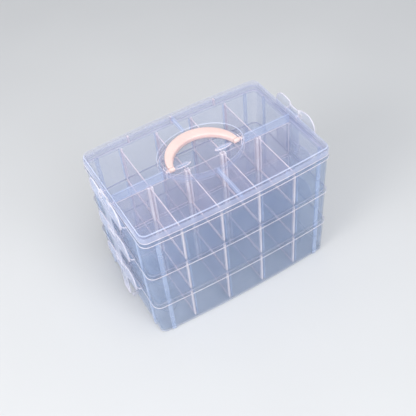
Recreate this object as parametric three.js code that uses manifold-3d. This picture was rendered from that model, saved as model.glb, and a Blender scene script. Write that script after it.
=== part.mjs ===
// Craft storage box: three stacked trays with lift-out dividers, a lid with a folding handle
// in a round recess, and a pair of swinging side latches at each level of the stack.
// Millimetres, +Z up, +X along the long side, origin at the middle of the underside.

import * as THREE from 'three';
import { mergeVertices } from 'three/addons/utils/BufferGeometryUtils.js';
import Module from 'manifold-3d';

const wasm = await Module();
wasm.setup();

// Plan of the box, over the tray rims
const rimLength = 243.7;
const rimWidth = 157.6;
const sideBow = 4.5;
const rimCornerRadius = 10;

// Trays
const trayPitch = 54.5;
const nestDepth = 1.5;
const wallThickness = 1.6;
const floorThickness = 1.8;
const wallDraft = 1;
const rimOverhang = 1.8;
const rimThickness = 2.2;
const footHeight = 1;
const footInset = 1;
const floorFillet = 1.6;
const nestClearance = 0.3;
const seatGap = 0.3;

// Cells: four dividers on each side of the centre wall
const cellPitch = 48.4;
const cellsAlong = 5;
const centreWallThickness = 1.6;
const dividerThickness = 1.4;
const dividerClearance = 0.3;
const guideWidth = 6.5;
const wallGuideWidth = 5;
const guideReach = 2.2;
const guideWeb = 0.4;
const guideFoot = 8;

// Upright ribs outside the tray walls, near the corners
const columnWidth = 5;
const columnReach = 1.4;
const columnInsetX = 18;
const columnInsetY = 21.2;

// Ledge on each short side of a rim, which a latch closes on
const ledgeWidth = 81;
const ledgeReach = 3.6;
const ledgeCornerRadius = 4;
const ledgeDrop = 0.8;

// Side latches
const pivotAboveRim = 9.7;
const pivotFromRim = 2.2;
const pinRadius = 1.3;
const pinClearance = 0.3;
const barrelRadius = 2;
const barrelWidth = 18.4;
const earThickness = 2.6;
const earRadius = 2.8;
const earGap = 0.5;
const plateThickness = 1.6;
const plateFromRim = 5;
const headWidth = 77.5;
const lobeSpacing = 48;
const lobeAboveRim = 21;
const waistAboveRim = 17.2;
const shoulderAboveRim = 6.1;
const headBottomBelowRim = 4.9;
const headCorner = 2.5;
const stripWidth = 17.8;
const stripTuck = 1.8;
const stripWeb = 1.2;
const tuckStartAboveRim = 0.6;
const tuckEndAboveRim = 5.2;
const armWidth = 17;
const armFlare = 9;
const armFlareHeight = 9;
const gripTopBelowRim = 29.9;
const gripBottomBelowRim = 44.2;
const gripWidth = 17;
const gripStandOff = 0.3;
const gripThickness = 1.6;
const gripRibs = 3;
const gripRibHeight = 1.2;
const gripRibPitch = 3.2;
const gripRibReach = 0.5;
const hookWidth = 20;
const hookHeight = 1.9;
const hookGap = 0.5;
const hookClearance = 0.3;
const windowWidth = 3.9;
const windowHeight = 6.7;
const windowSpacing = 22.5;

// Lid
const lidTopAboveRim = 15.1;
const lidTopInset = 2;
const lidSkirtInset = 0.5;
const lidBorderWidth = 2.7;
const lidBorderHeight = 2.5;
const lidStepAboveRim = 11.5;
const lidPanelThickness = 1.8;
const lidSkirtThickness = 1.5;
const lidLipDepth = 1.4;
const lidEdgeRound = 0.6;
const lidRibThickness = 1.6;
const lidCrossRibThickness = 2.6;
const lidCentreRibDepth = 13.5;
const lidCrossRibDepth = 7.5;
const skirtRibSpacing = 59.5;
const skirtRibThickness = 1.2;

// Round recess for the handle
const recessEndRoom = 6.7;
const recessBackRoom = 1.2;
const recessFront = 30;
const recessDepth = 9.8;
const recessWall = 1.8;
const recessDraft = 0.8;
const tongueLength = 22.4;
const tongueWidth = 6.4;
const tongueHeight = 1.2;
const tongueGap = 0.9;
const tongueOffset = 3.8;
const slitWidth = 1.6;
const slitLength = 15;
const slitGap = 0.8;

// Handle
const handleOuterRadius = 46.2;
const handleOuterOffset = 0.5;
const handleGripWidth = 15.2;
const handleEndWidth = 6.8;
const handleThickness = 7.5;
const handleEyeRadius = 3;
const handleSquareShare = 0.7;
const handlePivotBelowPanel = 4.6;
const handlePinRadius = 2;
const handlePinLength = 3.6;
const handlePinClearance = 0.3;
const socketGap = 1;
const socketWidth = 10;
const socketTopGap = 1;

// Faceting
const cornerSteps = 5;
const bowSteps = 5;
const recessSteps = 32;
const handleSteps = 24;
const handleSides = 12;
const pinSides = 12;
const lobeSteps = 4;
const headRows = 4;
const tongueSteps = 12;
const overrun = 1;

// Heights and places worked out from the sizes above
const rimTop = trayPitch + nestDepth;
const rimBottom = rimTop - rimThickness;
const insideTop = trayPitch - seatGap;
const shoulderHeight = nestDepth + seatGap;
const wallInnerTop = rimOverhang + wallThickness;
const wallOuterFoot = rimOverhang + wallDraft;
const wallInnerFoot = wallOuterFoot + wallThickness;
const nestInset = wallInnerTop + nestClearance;
const ledgeEdge = rimLength / 2 + ledgeReach;
const pivotX = rimLength / 2 + pivotFromRim;
const plateX = rimLength / 2 + plateFromRim;
const topRim = 2 * trayPitch + rimTop;
const lidTop = topRim + lidTopAboveRim;
const panelTop = lidTop - lidBorderHeight;
const panelBottom = panelTop - lidPanelThickness;
const recessFloor = panelTop - recessDepth;
const handleReach = handleOuterRadius - handleOuterOffset;
const eyeInner = handleOuterRadius - handleEndWidth;
const innerReach = handleReach - handleGripWidth;
const handleInnerRadius = (eyeInner ** 2 + innerReach ** 2) / (2 * innerReach);
const handleInnerOffset = handleInnerRadius - innerReach;
const recessLength = 2 * (handleOuterRadius + recessEndRoom);
const recessBack = handleReach + recessBackRoom;
const recessWidth = recessBack + recessFront;
const recessOffset = (recessBack - recessFront) / 2;
const tongueMiddle = eyeInner - tongueGap - tongueLength / 2;

const clearPlastic = () => new THREE.MeshStandardMaterial({
  color: 0xa9b6cf, roughness: 0.32, metalness: 0, transparent: true, opacity: 0.55,
});
const palePlastic = () => new THREE.MeshStandardMaterial({
  color: 0xc9c3cf, roughness: 0.4, metalness: 0, transparent: true, opacity: 0.7,
});
const peachPlastic = () => new THREE.MeshStandardMaterial({
  color: 0xfbded3, roughness: 0.35, metalness: 0,
});

// Solid and mesh conversions
function toSolid(geometry) {
  const bare = geometry.clone();
  bare.deleteAttribute('normal');
  bare.deleteAttribute('uv');
  const merged = mergeVertices(bare);
  return new wasm.Manifold(new wasm.Mesh({
    numProp: 3,
    vertProperties: Float32Array.from(merged.attributes.position.array),
    triVerts: Uint32Array.from(merged.index.array),
  }));
}

function toGeometry(solid) {
  const mesh = solid.getMesh();
  const geometry = new THREE.BufferGeometry();
  geometry.setAttribute('position', new THREE.BufferAttribute(Float32Array.from(mesh.vertProperties), 3));
  geometry.setIndex(Array.from(mesh.triVerts));
  geometry.computeVertexNormals();
  return geometry;
}

const join = (first, ...rest) => rest.reduce((sum, piece) => sum.add(piece), first);
const cut = (first, ...rest) => rest.reduce((left, piece) => left.subtract(piece), first);

function block(x0, x1, y0, y1, z0, z1) {
  const geometry = new THREE.BoxGeometry(x1 - x0, y1 - y0, z1 - z0);
  geometry.translate((x0 + x1) / 2, (y0 + y1) / 2, (z0 + z1) / 2);
  return toSolid(geometry);
}

function rodAlongX(radius, x0, x1) {
  const geometry = new THREE.CylinderGeometry(radius, radius, x1 - x0, pinSides);
  geometry.rotateZ(Math.PI / 2);
  geometry.translate((x0 + x1) / 2, 0, 0);
  return geometry;
}

function rodAlongY(radius, y0, y1) {
  const geometry = new THREE.CylinderGeometry(radius, radius, y1 - y0, pinSides);
  geometry.translate(0, (y0 + y1) / 2, 0);
  return geometry;
}

// A closed skin through rings of equal point counts, with a flat cap on the first and last ring
function loft(rings) {
  const count = rings[0].length;
  const position = rings.flat().flatMap((point) => [point.x, point.y, point.z]);
  const index = [];
  for (let ring = 0; ring < rings.length - 1; ring += 1) {
    for (let step = 0; step < count; step += 1) {
      const next = (step + 1) % count;
      const a = ring * count + step;
      const b = ring * count + next;
      const c = a + count;
      const d = b + count;
      index.push(a, b, d, a, d, c);
    }
  }
  const addCap = (ring, facesBack) => {
    const middle = rings[ring].reduce((sum, point) => sum.add(point), new THREE.Vector3());
    middle.divideScalar(count);
    const centre = position.length / 3;
    position.push(middle.x, middle.y, middle.z);
    for (let step = 0; step < count; step += 1) {
      const here = ring * count + step;
      const next = ring * count + (step + 1) % count;
      index.push(centre, facesBack ? next : here, facesBack ? here : next);
    }
  };
  addCap(0, true);
  addCap(rings.length - 1, false);
  const geometry = new THREE.BufferGeometry();
  geometry.setAttribute('position', new THREE.Float32BufferAttribute(position, 3));
  geometry.setIndex(index);
  return geometry;
}

// Plan outline
const bowRadius = (rimLength ** 2 / 4 + sideBow ** 2) / (2 * sideBow);
const bowCentre = rimWidth / 2 + sideBow - bowRadius;

const sideY = (x, inset) => bowCentre + Math.sqrt((bowRadius - inset) ** 2 - x ** 2);

function outline(inset, z) {
  const radius = rimCornerRadius - inset;
  const cornerX = rimLength / 2 - inset - radius;
  const cornerY = bowCentre + Math.sqrt((bowRadius - inset - radius) ** 2 - cornerX ** 2);
  const turn = Math.atan2(cornerY - bowCentre, cornerX);
  const points = [];
  const addArc = (x, y, r, from, to, steps, skipEnds) => {
    for (let step = skipEnds ? 1 : 0; step <= steps - (skipEnds ? 1 : 0); step += 1) {
      const angle = from + (to - from) * step / steps;
      points.push(new THREE.Vector3(x + r * Math.cos(angle), y + r * Math.sin(angle), z));
    }
  };
  const half = Math.PI;
  addArc(cornerX, cornerY, radius, 0, turn, cornerSteps, false);
  addArc(0, bowCentre, bowRadius - inset, turn, half - turn, bowSteps, true);
  addArc(-cornerX, cornerY, radius, half - turn, half, cornerSteps, false);
  addArc(-cornerX, -cornerY, radius, half, half + turn, cornerSteps, false);
  addArc(0, -bowCentre, bowRadius - inset, half + turn, 2 * half - turn, bowSteps, true);
  addArc(cornerX, -cornerY, radius, 2 * half - turn, 2 * half, cornerSteps, false);
  return points;
}

const shellFrom = (profile) => toSolid(loft(profile.map(([inset, z]) => outline(inset, z))));

const dividerPlaces = Array.from(
  { length: cellsAlong - 1 },
  (_, place) => (place - (cellsAlong - 2) / 2) * cellPitch,
);

// Ears that carry a latch pin, and the ledge that a latch closes on. Each is made for the right
// side, with its pivot or rim line at z = 0, and turned half round for the left side.
function latchEars(wallX) {
  const bore = new THREE.Path();
  bore.absarc(pivotX, 0, pinRadius + pinClearance, 0, 2 * Math.PI, true);
  const shape = new THREE.Shape();
  shape.moveTo(wallX, -earRadius);
  shape.lineTo(pivotX, -earRadius);
  shape.absarc(pivotX, 0, earRadius, -Math.PI / 2, Math.PI / 2, false);
  shape.lineTo(wallX, earRadius);
  shape.closePath();
  shape.holes.push(bore);
  const inner = barrelWidth / 2 + earGap;
  return [1, -1].map((side) => {
    const geometry = new THREE.ExtrudeGeometry(shape, {
      depth: earThickness, bevelEnabled: false, curveSegments: pinSides / 2,
    });
    geometry.rotateX(Math.PI / 2);
    geometry.translate(0, side * inner + (side > 0 ? earThickness : 0), 0);
    return toSolid(geometry);
  });
}

function rimLedge() {
  const shape = new THREE.Shape();
  const half = ledgeWidth / 2;
  const corner = ledgeCornerRadius;
  const root = rimLength / 2 - rimOverhang;
  shape.moveTo(root, -half);
  shape.lineTo(ledgeEdge - corner, -half);
  shape.absarc(ledgeEdge - corner, corner - half, corner, -Math.PI / 2, 0, false);
  shape.absarc(ledgeEdge - corner, half - corner, corner, 0, Math.PI / 2, false);
  shape.lineTo(root, half);
  shape.closePath();
  const geometry = new THREE.ExtrudeGeometry(shape, {
    depth: rimThickness, bevelEnabled: false, curveSegments: cornerSteps,
  });
  geometry.translate(0, 0, -ledgeDrop - rimThickness);
  return toSolid(geometry);
}

const onBothEnds = (pieces) => pieces.flatMap((piece) => [piece, piece.rotate([0, 0, 180])]);

// Tray
function trayShell() {
  return shellFrom([
    [nestInset + footInset, 0],
    [nestInset, footHeight],
    [nestInset, shoulderHeight],
    [wallOuterFoot, shoulderHeight],
    [rimOverhang, rimBottom],
    [0, rimBottom],
    [0, rimTop],
    [wallInnerTop, rimTop],
    [wallInnerFoot, floorThickness + floorFillet],
    [wallInnerFoot + floorFillet, floorThickness],
  ]);
}

// A span from one place to another, whichever is the lower first
const span = (from, to) => [Math.min(from, to), Math.max(from, to)];

function guides(x) {
  const half = guideWidth / 2;
  const centreReach = centreWallThickness / 2 + guideReach;
  const pieces = [block(x - half, x + half, -centreReach, centreReach, floorThickness / 2, insideTop)];
  const wallHalf = wallGuideWidth / 2;
  for (const side of [-1, 1]) {
    const back = side * sideY(x, (wallOuterFoot + wallInnerTop) / 2);
    const front = side * (sideY(x, wallInnerFoot) - guideReach);
    pieces.push(block(x - wallHalf, x + wallHalf, ...span(back, front), guideFoot, insideTop));
  }
  return pieces;
}

function guideSlots(x) {
  const half = dividerThickness / 2 + dividerClearance;
  const web = centreWallThickness / 2 + guideWeb;
  const wall = sideY(x, wallInnerFoot) - guideWeb;
  return [-1, 1].flatMap((side) => [
    block(x - half, x + half, ...span(side * web, side * (web + guideReach)), floorThickness, rimTop),
    block(x - half, x + half, ...span(side * (wall - guideReach), side * wall),
      guideFoot - overrun, rimTop),
  ]);
}

function wallColumns() {
  const middle = (wallOuterFoot + wallInnerTop) / 2;
  const half = columnWidth / 2;
  const x = rimLength / 2 - columnInsetX;
  const y = rimWidth / 2 - columnInsetY;
  const top = rimTop - rimThickness / 2;
  const pieces = [];
  for (const side of [-1, 1]) {
    const longWall = span(side * sideY(x, middle), side * sideY(x, wallOuterFoot - columnReach));
    const reach = rimLength / 2 - wallOuterFoot + columnReach;
    const shortWall = span(side * (rimLength / 2 - middle), side * reach);
    for (const end of [-1, 1]) {
      pieces.push(block(end * x - half, end * x + half, ...longWall, shoulderHeight, top));
      pieces.push(block(...shortWall, end * y - half, end * y + half, shoulderHeight, top));
    }
  }
  return pieces;
}

function centreWall() {
  const end = rimLength / 2 - (wallOuterFoot + wallInnerTop) / 2;
  const foot = rimLength / 2 - nestInset - footInset;
  const half = centreWallThickness / 2;
  const low = floorThickness / 2;
  const pieces = [
    block(-foot, foot, -half, half, low, insideTop),
    block(-end, end, -half, half, shoulderHeight + floorThickness / 2, insideTop),
  ];
  for (const side of [-1, 1]) {
    const reach = span(side * end, side * (rimLength / 2 - wallInnerFoot - guideReach));
    pieces.push(block(...reach, -guideWidth / 2, guideWidth / 2, guideFoot, insideTop));
  }
  return pieces;
}

function trayGeometry() {
  const wallX = rimLength / 2 - (wallOuterFoot + wallInnerTop) / 2;
  const earHeight = nestDepth + pivotAboveRim;
  const ears = latchEars(wallX).map((ear) => ear.translate([0, 0, earHeight]));
  const ledge = rimLedge().translate([0, 0, rimTop]);
  const body = join(
    trayShell(), ...centreWall(), ...dividerPlaces.flatMap(guides), ...wallColumns(),
    ...onBothEnds([...ears, ledge]),
  );
  return toGeometry(cut(body, ...dividerPlaces.flatMap(guideSlots)));
}

// Divider for the back row, standing in the slots of the guides at one place along the tray
function dividerGeometry(x) {
  const bottom = floorThickness + dividerClearance;
  const near = centreWallThickness / 2 + guideWeb + dividerClearance;
  const far = sideY(x, wallInnerFoot) - guideWeb - dividerClearance;
  const toe = sideY(x, wallInnerFoot + floorFillet) - dividerClearance;
  const shape = new THREE.Shape();
  shape.moveTo(near, bottom);
  shape.lineTo(toe, bottom);
  shape.lineTo(toe, floorThickness + floorFillet);
  shape.lineTo(far, guideFoot);
  shape.lineTo(far, insideTop);
  shape.lineTo(near, insideTop);
  shape.closePath();
  return toGeometry(crossPlate(shape, -dividerThickness / 2, dividerThickness / 2));
}

// Latch for the right side, with its pin on the line x = 0, z = 0
const plateAtPivot = plateX - pivotX;
const fromRim = (height) => height - pivotAboveRim;

function headHeights(y) {
  const lobeY = lobeSpacing / 2;
  const lobe = fromRim(lobeAboveRim);
  const waist = fromRim(waistAboveRim);
  const shoulder = fromRim(shoulderAboveRim);
  const bottom = fromRim(-headBottomBelowRim);
  const offset = Math.abs(y);
  const past = Math.max(0, offset - (headWidth / 2 - headCorner));
  const low = bottom + headCorner - Math.sqrt(Math.max(0, headCorner ** 2 - past ** 2));
  if (offset <= lobeY) {
    return [low, waist + (lobe - waist) * Math.sin(Math.PI / 2 * offset / lobeY) ** 2];
  }
  const run = (offset - lobeY) / (headWidth / 2 - lobeY);
  return [low, shoulder + (lobe - shoulder) * Math.sqrt(Math.max(0, 1 - run ** 2))];
}

// The middle strip of the head lies nearer the wall, so the grip of the latch above can pass it
function plateOffset(y, z) {
  const start = fromRim(tuckStartAboveRim);
  const rise = (z - start) / (fromRim(tuckEndAboveRim) - start);
  const across = (Math.abs(y) - stripWidth / 2) / stripWeb;
  const clamp = (value) => Math.min(1, Math.max(0, value));
  return plateAtPivot - stripTuck * clamp(rise) * (1 - clamp(across));
}

function headPlaces() {
  const lobeY = lobeSpacing / 2;
  const lobe = Array.from({ length: lobeSteps + 1 }, (_, step) => (
    lobeY + (headWidth / 2 - lobeY) * Math.cos(Math.PI / 2 * step / lobeSteps)
  ));
  const strip = stripWidth / 2;
  const web = strip + stripWeb;
  const between = [lobeY - (lobeY - web) / 3, lobeY - 2 * (lobeY - web) / 3];
  const half = [...lobe, ...between, web, strip, strip / 2];
  return [...half.map((y) => -y), 0, ...half.reverse()];
}

function latchHead() {
  const up = Array.from({ length: headRows + 1 }, (_, row) => row);
  const rings = headPlaces().map((y) => {
    const [low, high] = headHeights(y);
    const side = (offset, rows) => rows.map((row) => {
      const z = low + (high - low) * row / headRows;
      return new THREE.Vector3(plateOffset(y, z) + offset, y, z);
    });
    const inner = side(-plateThickness / 2, up);
    return [...inner, ...side(plateThickness / 2, [...up].reverse())];
  });
  return toSolid(loft(rings));
}

// A plate drawn across the box, Y to the right and Z up, from one place along X to another
function crossPlate(shape, x0, x1) {
  const geometry = new THREE.ExtrudeGeometry(shape, {
    depth: x1 - x0, bevelEnabled: false, curveSegments: lobeSteps,
  });
  geometry.translate(0, 0, x0);
  geometry.applyMatrix4(new THREE.Matrix4().makeBasis(
    new THREE.Vector3(0, 1, 0), new THREE.Vector3(0, 0, 1), new THREE.Vector3(1, 0, 0),
  ));
  return toSolid(geometry);
}

function latchArm() {
  const top = fromRim(-headBottomBelowRim / 2);
  const flareTop = fromRim(-headBottomBelowRim);
  const bottom = fromRim(-gripTopBelowRim - gripRibHeight);
  const half = armWidth / 2;
  const shape = new THREE.Shape();
  shape.moveTo(-half - armFlare, top);
  shape.lineTo(-half - armFlare, flareTop);
  shape.quadraticCurveTo(-half, flareTop, -half, flareTop - armFlareHeight);
  shape.lineTo(-half, bottom);
  shape.lineTo(half, bottom);
  shape.lineTo(half, flareTop - armFlareHeight);
  shape.quadraticCurveTo(half, flareTop, half + armFlare, flareTop);
  shape.lineTo(half + armFlare, top);
  shape.closePath();
  return crossPlate(shape, plateAtPivot - plateThickness / 2, plateAtPivot + plateThickness / 2);
}

function latchGrip() {
  const half = gripWidth / 2;
  const inner = plateAtPivot - plateThickness / 2 + gripStandOff;
  const outer = inner + gripThickness;
  const top = fromRim(-gripTopBelowRim);
  const bottom = fromRim(-gripBottomBelowRim);
  const pieces = [block(inner, outer, -half, half, bottom, top)];
  for (let rib = 0; rib < gripRibs; rib += 1) {
    const low = bottom + gripRibHeight + rib * gripRibPitch;
    pieces.push(block(
      outer - gripRibReach, outer + gripRibReach, -half + gripRibHeight, half - gripRibHeight,
      low, low + gripRibHeight,
    ));
  }
  return pieces;
}

function latchGeometry() {
  const barrel = toSolid(rodAlongY(barrelRadius, -barrelWidth / 2, barrelWidth / 2));
  const pinEnd = barrelWidth / 2 + earGap + earThickness + earGap;
  const pin = toSolid(rodAlongY(pinRadius, -pinEnd, pinEnd));
  const hookTop = fromRim(-ledgeDrop - rimThickness - hookGap);
  const hook = block(
    ledgeEdge + hookClearance - pivotX, plateAtPivot, -hookWidth / 2, hookWidth / 2,
    hookTop - hookHeight, hookTop,
  );
  const windows = [-1, 1].map((side) => {
    const middle = side * windowSpacing / 2;
    return block(
      0, plateAtPivot + plateThickness, middle - windowWidth / 2, middle + windowWidth / 2,
      -windowHeight / 2, windowHeight / 2,
    );
  });
  const plate = cut(latchHead(), ...windows);
  return toGeometry(join(plate, latchArm(), ...latchGrip(), barrel, pin, hook));
}

// Lid
function ovalRing(grow, z) {
  return Array.from({ length: recessSteps }, (_, step) => {
    const angle = 2 * Math.PI * step / recessSteps;
    return new THREE.Vector3(
      (recessLength / 2 + grow) * Math.cos(angle),
      recessOffset + (recessWidth / 2 + grow) * Math.sin(angle),
      z,
    );
  });
}

function lidShell() {
  const skirtBottom = topRim + seatGap;
  const lipOuter = nestInset;
  const lipInner = lipOuter + lidSkirtThickness;
  const lipBottom = topRim - lidLipDepth;
  const step = topRim + lidStepAboveRim;
  const shelf = step - lidSkirtThickness;
  const ridgeInner = lidTopInset + lidBorderWidth;
  return shellFrom([
    [lipInner, panelBottom],
    [lipInner, lipBottom],
    [lipOuter, lipBottom],
    [lipOuter, shelf],
    [lidSkirtInset + lidSkirtThickness, shelf],
    [lidSkirtInset + lidSkirtThickness, skirtBottom],
    [lidSkirtInset, skirtBottom],
    [lidSkirtInset, step],
    [lidTopInset, step + lidEdgeRound],
    [lidTopInset, lidTop - lidEdgeRound],
    [lidTopInset + lidEdgeRound, lidTop],
    [ridgeInner - lidEdgeRound, lidTop],
    [ridgeInner, panelTop],
  ]);
}

function lidRibs() {
  const half = lidRibThickness / 2;
  const crossHalf = lidCrossRibThickness / 2;
  const ribTop = panelTop - lidPanelThickness / 2;
  const border = nestInset + lidSkirtThickness / 2;
  const cupX = recessLength / 2 + recessWall / 2;
  const pieces = [];
  for (const side of [-1, 1]) {
    const alongX = span(side * (rimLength / 2 - border), side * cupX);
    pieces.push(block(...alongX, -half, half, panelTop - lidCentreRibDepth, ribTop));
    const cupY = recessOffset + side * (recessWidth / 2 + recessWall / 2);
    const alongY = span(side * sideY(0, border), cupY);
    pieces.push(block(-crossHalf, crossHalf, ...alongY, panelTop - lidCrossRibDepth, ribTop));
  }
  return pieces;
}

// Short upright ribs between the skirt and the lip, at the front and the back
function skirtRibs() {
  const half = skirtRibThickness / 2;
  const bury = lidSkirtThickness / 2;
  const shelf = topRim + lidStepAboveRim - lidSkirtThickness / 2;
  const pieces = [];
  for (const x of [-skirtRibSpacing, 0, skirtRibSpacing]) {
    for (const side of [-1, 1]) {
      const reach = span(side * sideY(x, lidSkirtInset + bury), side * sideY(x, nestInset + bury));
      pieces.push(block(x - half, x + half, ...reach, topRim + seatGap + lidEdgeRound, shelf));
    }
  }
  return pieces;
}

const handlePivotZ = panelTop - handlePivotBelowPanel;

// A lens-shaped tongue on the recess floor, and the slit beside it
function tongue(side) {
  const middle = side * tongueMiddle;
  const geometry = new THREE.CylinderGeometry(1, 1, recessWall + tongueHeight, tongueSteps);
  geometry.rotateX(Math.PI / 2);
  geometry.scale(tongueLength / 2, tongueWidth / 2, 1);
  geometry.translate(middle, tongueOffset, recessFloor + tongueHeight / 2 - recessWall / 2);
  return toSolid(geometry);
}

function slit(side) {
  const middle = side * tongueMiddle;
  const back = tongueOffset - tongueWidth / 2 - slitGap;
  const half = slitLength / 2;
  const low = recessFloor - recessWall - overrun;
  return block(middle - half, middle + half, back - slitWidth, back, low, panelTop);
}

function socket(side) {
  const outer = recessLength / 2 + recessWall;
  const reach = span(side * (handleOuterRadius + socketGap), side * outer);
  const half = socketWidth / 2;
  return block(...reach, -half, half, recessFloor - recessWall / 2, panelTop - socketTopGap);
}

function socketBore(side) {
  const near = side * handleOuterRadius;
  const far = side * (handleOuterRadius + socketGap + handlePinLength + handlePinClearance);
  const bore = rodAlongX(handlePinRadius + handlePinClearance, ...span(near, far));
  return toSolid(bore.translate(0, 0, handlePivotZ));
}

function lidGeometry() {
  const cup = toSolid(loft([
    ovalRing(recessWall - recessDraft, recessFloor - recessWall),
    ovalRing(recessWall, panelTop - lidPanelThickness / 2),
  ]));
  const hollow = toSolid(loft([
    ovalRing(-recessDraft, recessFloor),
    ovalRing(0, panelTop),
    ovalRing(0, panelTop + overrun),
  ]));
  const wallX = rimLength / 2 - lidTopInset - seatGap;
  const ears = latchEars(wallX).map((ear) => ear.translate([0, 0, topRim + pivotAboveRim]));
  const dished = cut(join(lidShell(), cup, ...lidRibs(), ...skirtRibs()), hollow);
  const sides = [-1, 1];
  const inCup = [...sides.map(socket), ...sides.map(tongue)].map((piece) => piece.intersect(cup));
  const body = join(dished, ...inCup, ...onBothEnds(ears));
  return toGeometry(cut(body, ...sides.map(socketBore), ...sides.map(slit)));
}

// Handle, folded flat towards the back, with its pin line on the X axis
function handleRing(share) {
  const onArc = (radius, offset) => {
    const start = Math.asin(offset / radius);
    const angle = start + (Math.PI - 2 * start) * share;
    return new THREE.Vector3(radius * Math.cos(angle), radius * Math.sin(angle) - offset, 0);
  };
  const outer = onArc(handleOuterRadius, handleOuterOffset);
  const inner = onArc(handleInnerRadius, handleInnerOffset);
  const middle = outer.clone().add(inner).divideScalar(2);
  const reach = outer.clone().sub(inner).divideScalar(2);
  return Array.from({ length: handleSides }, (_, side) => {
    const turn = 2 * Math.PI * (side + 1 / 2) / handleSides;
    const round = (value) => Math.sign(value) * Math.abs(value) ** handleSquareShare;
    return middle.clone()
      .addScaledVector(reach, round(Math.cos(turn)))
      .add(new THREE.Vector3(0, 0, handleThickness / 2 * round(Math.sin(turn))));
  }).reverse();
}

function handleGeometry() {
  const shares = Array.from({ length: handleSteps + 1 }, (_, step) => step / handleSteps);
  const bow = toSolid(loft(shares.map(handleRing)));
  const fittings = [-1, 1].flatMap((side) => {
    const eye = span(side * eyeInner, side * handleOuterRadius);
    const pinEnd = handleOuterRadius + socketGap + handlePinLength;
    const pin = span(side * (eyeInner + handleOuterRadius) / 2, side * pinEnd);
    return [
      toSolid(rodAlongX(handleEyeRadius, ...eye)),
      toSolid(rodAlongX(handlePinRadius, ...pin)),
    ];
  });
  return toGeometry(join(bow, ...fittings));
}

// Assembly
const box = new THREE.Group();

function place(name, geometry, material, x, y, z, turn = 0) {
  const mesh = new THREE.Mesh(geometry, material);
  mesh.name = name;
  mesh.position.set(x, y, z);
  mesh.rotation.z = turn;
  box.add(mesh);
}

const trays = ['bottom', 'middle', 'top'];
const latchedTo = ['middle', 'top', 'lid'];
trays.forEach((level, storey) => {
  const base = storey * trayPitch;
  place(`tray_${level}`, trayGeometry(), clearPlastic(), 0, 0, base);
  dividerPlaces.forEach((x, index) => {
    const back = dividerGeometry(x);
    const front = dividerGeometry(x);
    place(`divider_${level}_back_${index + 1}`, back, palePlastic(), x, 0, base);
    place(`divider_${level}_front_${index + 1}`, front, palePlastic(), x, 0, base, Math.PI);
  });
  const carrier = latchedTo[storey];
  const pivotZ = base + rimTop + pivotAboveRim;
  place(`latch_${carrier}_right`, latchGeometry(), clearPlastic(), pivotX, 0, pivotZ);
  place(`latch_${carrier}_left`, latchGeometry(), clearPlastic(), -pivotX, 0, pivotZ, Math.PI);
});
place('lid', lidGeometry(), clearPlastic(), 0, 0, 0);
place('carry_handle', handleGeometry(), peachPlastic(), 0, 0, handlePivotZ);

export default box;
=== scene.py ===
"""Craft storage box of clear plastic: three divided trays, a lid with a handle, six side latches.

Mesh code works in millimetres in the part's frame, and a mesh becomes metres when its shape is
finished. Insets are measured inwards from the edge of the trays' rims. A piece that stands in every
storey is made once, at the height of the bottom storey, and a latch or a handle is made round its
own hinge line.
"""

import math
from collections import namedtuple

import bmesh
import bpy
from mathutils import Matrix, Vector

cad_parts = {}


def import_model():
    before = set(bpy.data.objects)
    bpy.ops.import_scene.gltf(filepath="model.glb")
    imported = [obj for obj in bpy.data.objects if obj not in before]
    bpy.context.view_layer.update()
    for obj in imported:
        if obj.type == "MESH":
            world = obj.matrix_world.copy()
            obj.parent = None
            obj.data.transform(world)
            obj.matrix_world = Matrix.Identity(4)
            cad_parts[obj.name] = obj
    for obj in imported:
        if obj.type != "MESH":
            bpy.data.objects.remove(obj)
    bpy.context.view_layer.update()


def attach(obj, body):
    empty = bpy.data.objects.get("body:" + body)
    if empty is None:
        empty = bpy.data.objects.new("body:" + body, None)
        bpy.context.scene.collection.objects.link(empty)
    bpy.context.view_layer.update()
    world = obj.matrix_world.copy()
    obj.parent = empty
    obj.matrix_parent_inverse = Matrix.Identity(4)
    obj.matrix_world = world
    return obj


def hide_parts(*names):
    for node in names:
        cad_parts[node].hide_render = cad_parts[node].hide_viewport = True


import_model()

MM = 0.001

# Clearance between pieces that fit together, and how far a guide is sunk into its wall
GAP = 0.3
SINK = 0.2

# Plan: straight ends and bowed long sides. The bow stays just inside the CAD part's sides, which
# are made of straight steps.
RIM_LENGTH = 243.7
RIM_WIDTH = 157.6
BOW = 4.34
CORNER = 10.0

# Tray shell
PITCH = 54.5
NEST = 1.5
WALL = 1.6
FLOOR = 1.8
DRAFT = 1.0
OVERHANG = 1.8
RIM = 2.2
FOOT_HEIGHT = 1.0
FOOT_INSET = 1.0
FLOOR_FILLET = 1.6
FOOT_BAND = 2.4
FOOT_BAND_DRAFT = 0.05

# Centre wall, dividers and the guides that hold them
CELL = 48.4
CENTRE_WALL = 1.6
PLATE = 1.4
GUIDE_WIDTH = 6.5
WALL_GUIDE = 5.0
GUIDE_REACH = 2.2
GUIDE_WEB = 0.4
GUIDE_FOOT = 8.0
WALL_FOOT_OVERLAP = 1.0
WALL_FOOT_THINNER = 0.02

# Upright ribs near the tray's corners, rings on its floor, and ledges under the latches
COLUMN = 5.0
COLUMN_REACH = 1.4
COLUMN_X = 103.85
COLUMN_Y = 57.6
RING_X = 94.0
RING_Y = 43.0
RING_RADIUS = 11.0
RING_WIDTH = 1.2
RING_HEIGHT = 0.5
RING_DEPTH = 0.3
LEDGE_WIDTH = 81.0
LEDGE_REACH = 3.6
LEDGE_CORNER = 4.0
LEDGE_DROP = 0.8

# Latch hinge: its place from the rim, its pin and barrel, and the ears that carry it
PIVOT_UP = 9.7
PIVOT_OUT = 2.2
PIN = 1.3
BARREL = 2.0
BARREL_WIDTH = 18.4
EAR = 2.6
EAR_RADIUS = 2.8
EAR_GAP = 0.5

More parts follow.
